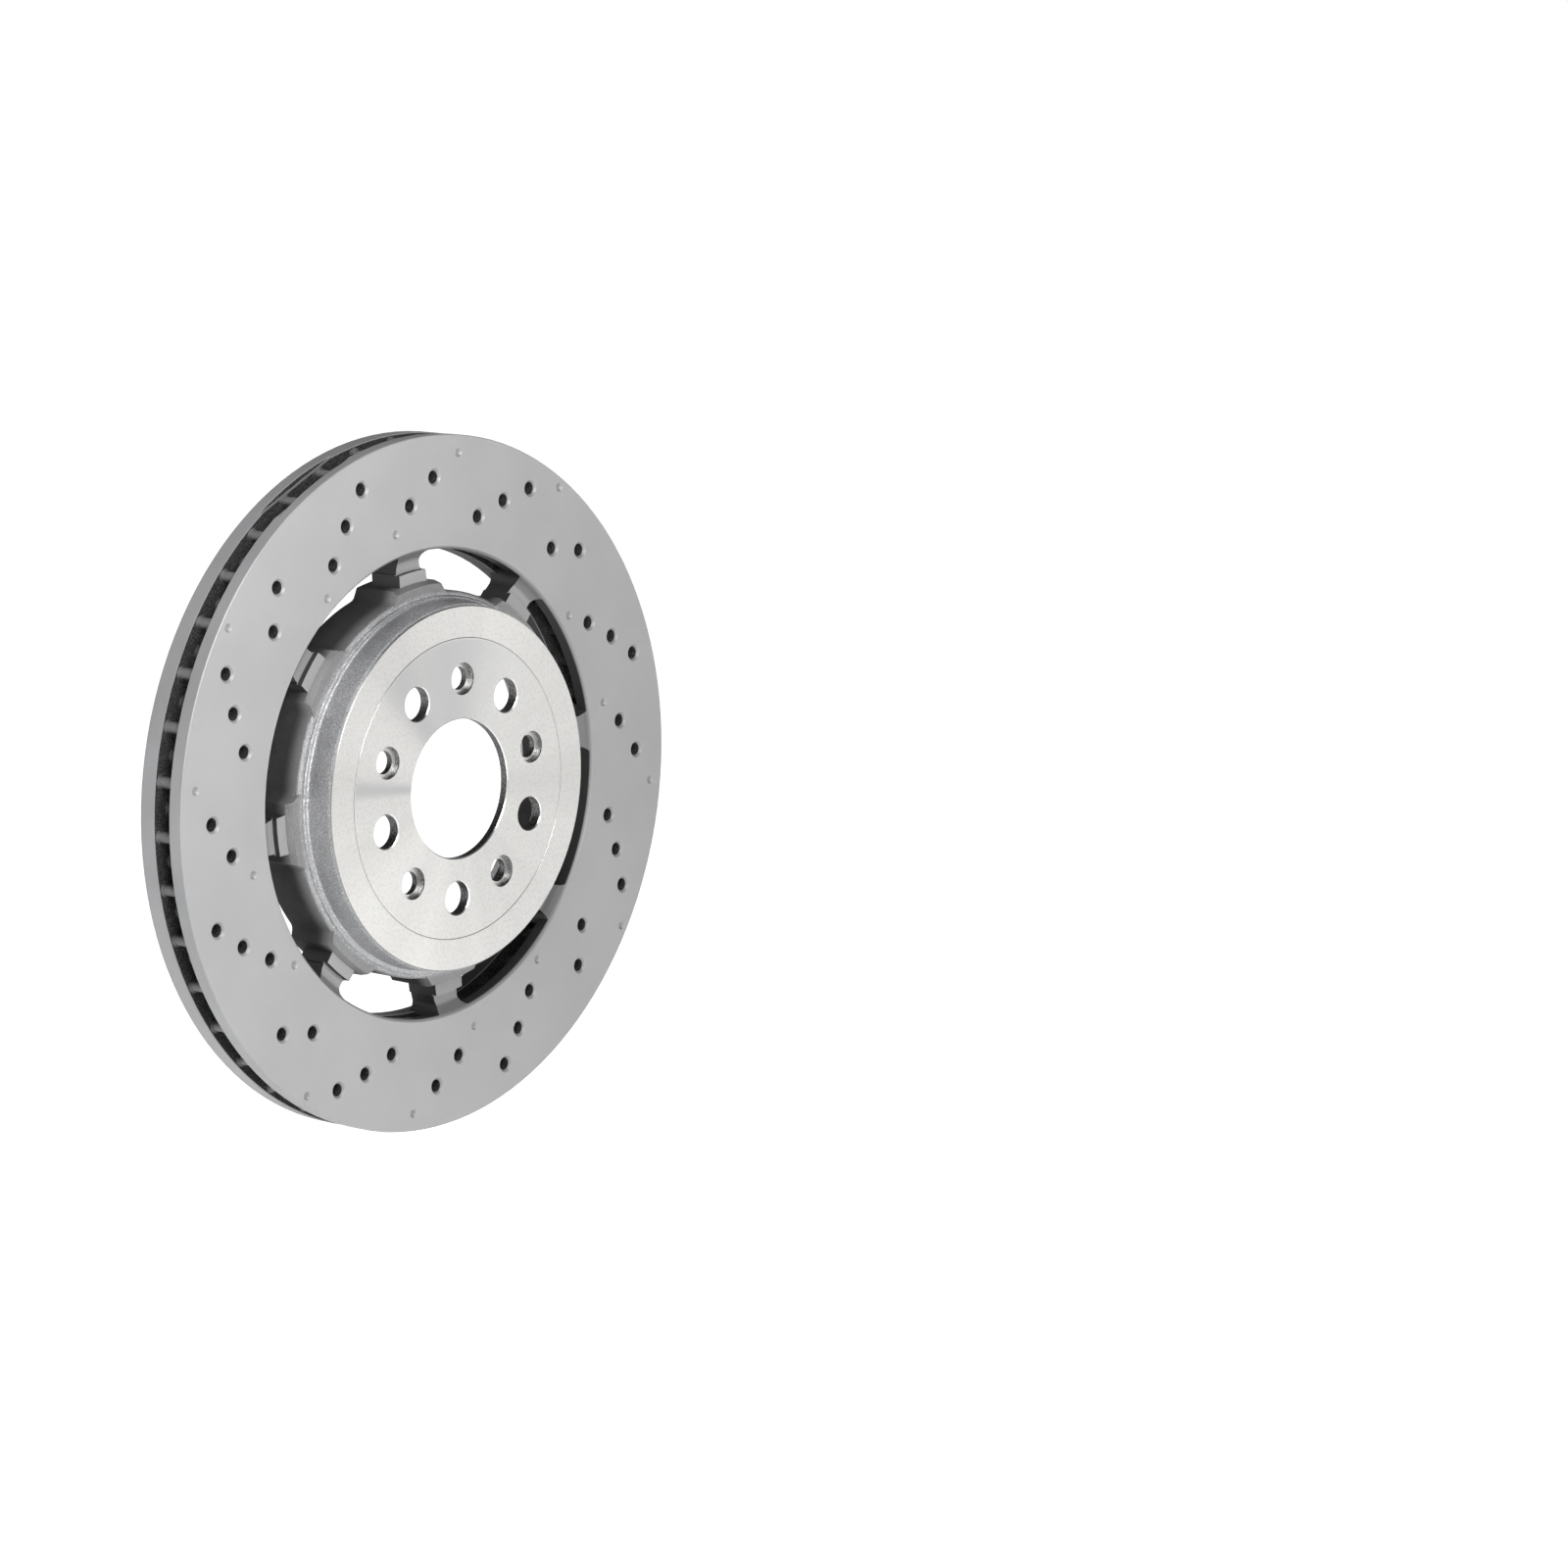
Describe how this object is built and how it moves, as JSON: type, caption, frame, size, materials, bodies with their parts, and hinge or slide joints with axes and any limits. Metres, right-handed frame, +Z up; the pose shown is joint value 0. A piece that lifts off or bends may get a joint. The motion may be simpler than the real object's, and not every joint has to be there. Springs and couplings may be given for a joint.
{
  "type": "ventilated brake disc",
  "caption": "Two-piece ventilated car brake disc: a cross-drilled, coated cast-iron friction ring whose inward teeth are held in a cast aluminium bell.",
  "frame": {"origin": "on the axle line, in the plane of the bell face that seats on the wheel hub", "axes": "+Y along the axle towards the car's centreline (the hub side), -Y towards the wheel, +Z up with the disc standing on its rim, +X horizontal"},
  "size_m": [0.35, 0.0444, 0.35],
  "materials": {
    "coated_iron": "matte grey anti-corrosion coating on machined faces, dark as-cast skin in the vents",
    "cast_aluminium": "bright turned flange, grainy as-cast side wall and sockets"
  },
  "bodies": {
    "root": {"friction_ring": "coated_iron", "bell": "cast_aluminium"}
  },
  "joints": []
}
